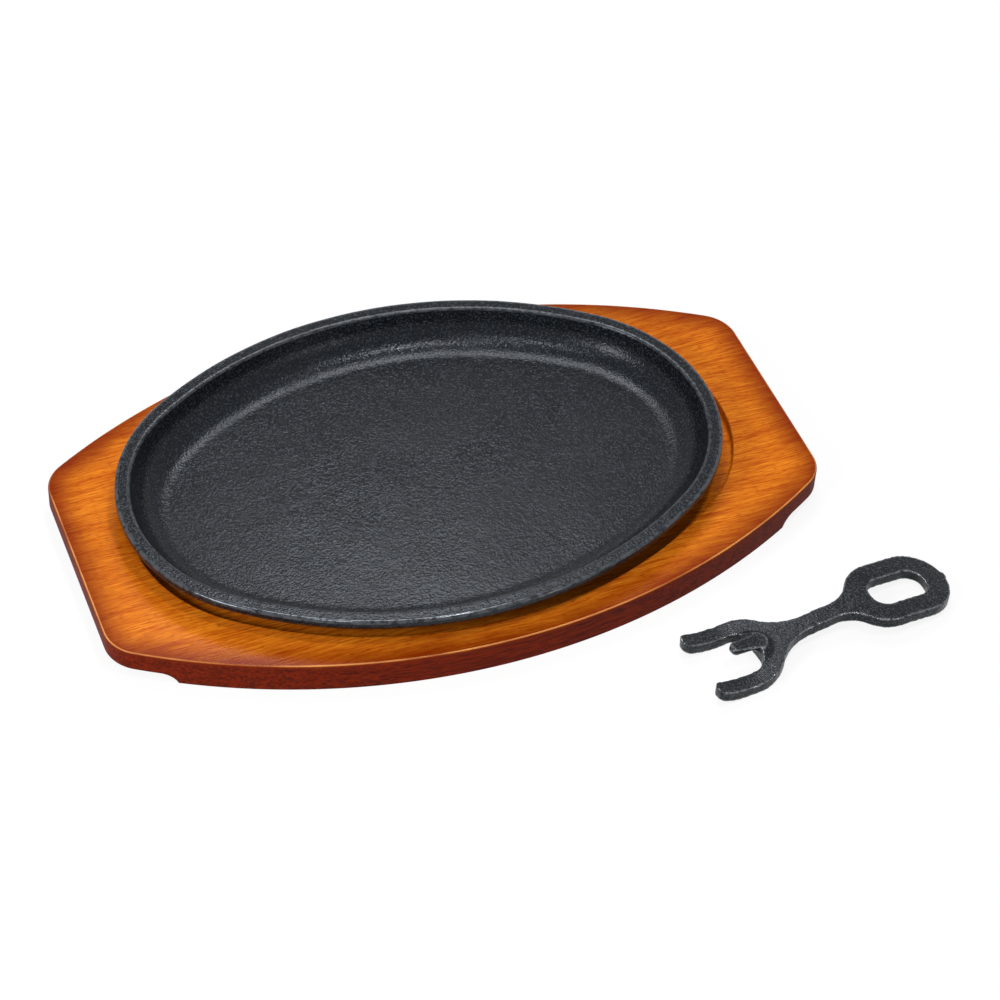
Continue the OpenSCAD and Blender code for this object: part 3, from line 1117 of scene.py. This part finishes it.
@dataclass(frozen=True)
class Softbox:
    """Square softbox that is turned to the middle of the set."""

    name: str
    place: tuple[float, float, float]
    side: float
    watts: float

    def hang(self) -> None:
        """Adds the lamp to the scene."""
        data = bpy.data.lights.new(self.name, "AREA")
        data.shape = "SQUARE"
        data.size = self.side * MM
        data.energy = self.watts
        lamp = bpy.data.objects.new(self.name, data)
        lamp.location = Vector(self.place) * MM
        lamp.rotation_mode = "QUATERNION"
        lamp.rotation_quaternion = (-lamp.location).to_track_quat("-Z", "Y")
        bpy.context.scene.collection.objects.link(lamp)


@dataclass
class Studio:
    """White sweep, soft lights and the camera of the photograph."""

    # Camera: bearing, height and roll in degrees, distance from the point that it is aimed at, focal length,
    # width of its sensor, and the nearest thing that it shows
    azimuth: float = -23.41
    elevation: float = 45.68
    roll: float = 3.32
    distance: float = 1183.4
    aim: tuple[float, float, float] = (23.5, -9.6, 0.0)
    lens: float = 108.21
    sensor: float = 36.0
    nearest: float = 10.0
    floor_size: float = 6000.0
    # Gap under the board, so that the two faces don't flicker
    floor_gap: float = 0.05
    # Matt white paper, which the eye sees as plain white, and the grey that it throws back on the object
    paper: str = "#f4f4f4"
    bounce: str = "#909090"
    # Share of the floor's white that takes the object's shadow, and its own glow by the distance in metres
    # from the middle. Past the lamps it glows a little more, so that it stays as white as the surroundings.
    shadow_share: float = 0.14
    glow: Change = Change(0.35, 1.6, 0.874, 0.972)
    world_strength: float = 0.28
    # One behind gives the iron its sheen and the plate its shadow, small ones overhead and in front draw
    # the gleam of the far hollow, one at the left lifts that end of the board, and a low one in front
    # draws the near edges.
    softboxes: tuple[Softbox, ...] = (
        Softbox("back_softbox", (125.0, 370.0, 740.0), 280.0, 2.7),
        Softbox("overhead_softbox", (170.0, -260.0, 1230.0), 110.0, 3.4),
        Softbox("front_softbox", (-290.0, -430.0, 1070.0), 110.0, 1.9),
        Softbox("left_softbox", (-740.0, -330.0, 540.0), 320.0, 4.8),
        Softbox("edge_softbox", (420.0, -850.0, 260.0), 90.0, 0.6),
    )

    def camera(self) -> None:
        """Places the camera where the photograph was taken from."""
        az, el, roll = (math.radians(a) for a in (self.azimuth, self.elevation, self.roll))
        back = Vector((math.sin(az) * math.cos(el), -math.cos(az) * math.cos(el), math.sin(el)))
        right = (-back).cross(Vector((0, 0, 1))).normalized()
        up = right.cross(-back)
        right, up = (
            math.cos(roll) * right + math.sin(roll) * up,
            -math.sin(roll) * right + math.cos(roll) * up,
        )
        data = bpy.data.cameras.new("camera")
        data.lens = self.lens
        data.sensor_width = self.sensor
        data.clip_start = self.nearest * MM
        camera = bpy.data.objects.new("camera", data)
        place = (Vector(self.aim) + back * self.distance) * MM
        turn = Matrix((right, up, back)).transposed().to_4x4()
        camera.matrix_world = Matrix.Translation(place) @ turn
        bpy.context.scene.collection.objects.link(camera)
        bpy.context.scene.camera = camera

    def showing(self, tree: Tree) -> Node:
        """Tells the rays that show the backdrop from those that light the object.

        Args:
            tree: Node tree that gets the test.

        Returns:
            The node that gives 1 for camera, glossy and transmission rays, and else 0.
        """
        path = add_node(tree, "ShaderNodeLightPath")
        rays = [path.outputs[f"Is {kind} Ray"] for kind in ("Camera", "Glossy", "Transmission")]
        seen = add_node(tree, "ShaderNodeMath", {0: rays[0], 1: rays[1]}, operation="MAXIMUM")
        return add_node(tree, "ShaderNodeMath", {0: seen, 1: rays[2]}, operation="MAXIMUM")

    def floor(self) -> None:
        """Makes the white floor, which keeps a soft shadow."""
        half = self.floor_size / 2
        square = [(-half, -half), (half, -half), (half, half), (-half, half)]
        mesh = bpy.data.meshes.new("studio_floor")
        mesh.from_pydata([(x * MM, y * MM, -self.floor_gap * MM) for x, y in square], [], [(0, 1, 2, 3)])
        floor = bpy.data.objects.new("studio_floor", mesh)
        bpy.context.scene.collection.objects.link(floor)
        material = bpy.data.materials.new("white_paper_sweep")
        tree = empty_tree(material)
        lit = add_node(tree, "ShaderNodeBsdfDiffuse", {"Color": srgb(self.bounce)})
        shade = tuple(channel * self.shadow_share for channel in srgb(self.paper)[:3]) + (1.0,)
        shaded = add_node(tree, "ShaderNodeBsdfDiffuse", {"Color": shade})
        place = add_node(tree, "ShaderNodeTexCoord").outputs["Object"]
        away = add_node(tree, "ShaderNodeVectorMath", {0: place}, operation="LENGTH")
        strength = add_node(tree, "ShaderNodeMapRange", self.glow.inputs(away), interpolation_type=EASED)
        glow = add_node(tree, "ShaderNodeEmission", {"Color": WHITE, "Strength": strength})
        shown = add_node(tree, "ShaderNodeAddShader", {0: shaded, 1: glow})
        mixed = add_node(tree, "ShaderNodeMixShader", {0: self.showing(tree), 1: lit, 2: shown})
        add_node(tree, "ShaderNodeOutputMaterial", {"Surface": mixed})
        mesh.materials.append(material)

    def world(self) -> None:
        """Makes the plain white surroundings."""
        world = bpy.data.worlds.new("studio_world")
        bpy.context.scene.world = world
        tree = empty_tree(world)
        light = add_node(tree, "ShaderNodeBackground", {"Color": WHITE, "Strength": self.world_strength})
        shown = add_node(tree, "ShaderNodeBackground", {"Color": WHITE, "Strength": 1.0})
        mixed = add_node(tree, "ShaderNodeMixShader", {0: self.showing(tree), 1: light, 2: shown})
        add_node(tree, "ShaderNodeOutputWorld", {"Surface": mixed})

    def build(self) -> None:
        """Sets up camera, floor, surroundings and lights."""
        self.camera()
        self.floor()
        self.world()
        for softbox in self.softboxes:
            softbox.hang()
        bpy.context.scene.view_settings.view_transform = "Standard"


def main() -> None:
    """Builds the studio, the board, the plate and the handle, in order."""
    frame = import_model()
    Studio().build()
    Board().build()
    Plate().build()
    Gripper().build(frame["nodes"][Part.GRIPPER.solid])


if __name__ == "__main__":
    main()
